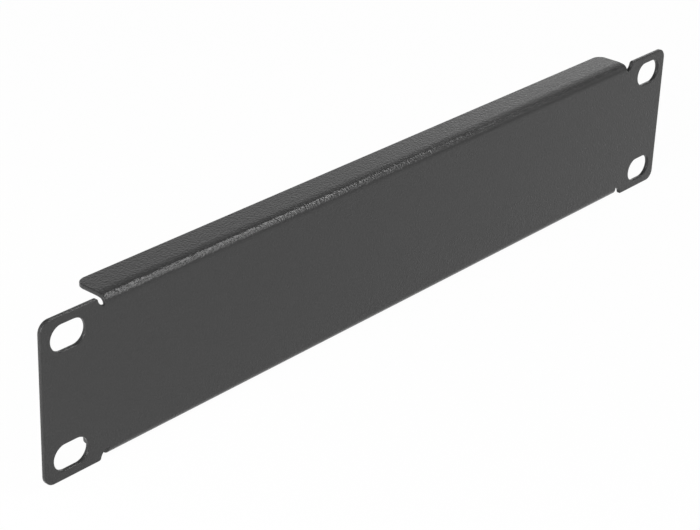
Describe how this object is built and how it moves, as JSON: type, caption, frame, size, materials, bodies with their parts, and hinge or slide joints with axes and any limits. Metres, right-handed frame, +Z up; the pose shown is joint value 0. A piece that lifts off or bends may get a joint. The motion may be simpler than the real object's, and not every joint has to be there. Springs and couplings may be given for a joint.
{
  "type": "rack blanking panel",
  "caption": "Folded steel blanking panel for a 10 inch rack: flat front, a slotted ear at each end, and shallow flanges folded back along the top and the bottom.",
  "frame": {"origin": "centre of the four screw slots, on the plane of the sheet's back where the ears rest on the rack rails", "axes": "+X across the panel, +Y to the back, the way the flanges point, +Z up. The front face looks along -Y"},
  "size_m": [0.2534, 0.0109, 0.0436],
  "materials": {
    "powder_coat": "satin powder coat with a fine grain, dark grey"
  },
  "bodies": {
    "root": {"blanking_panel": "powder_coat"}
  },
  "joints": []
}
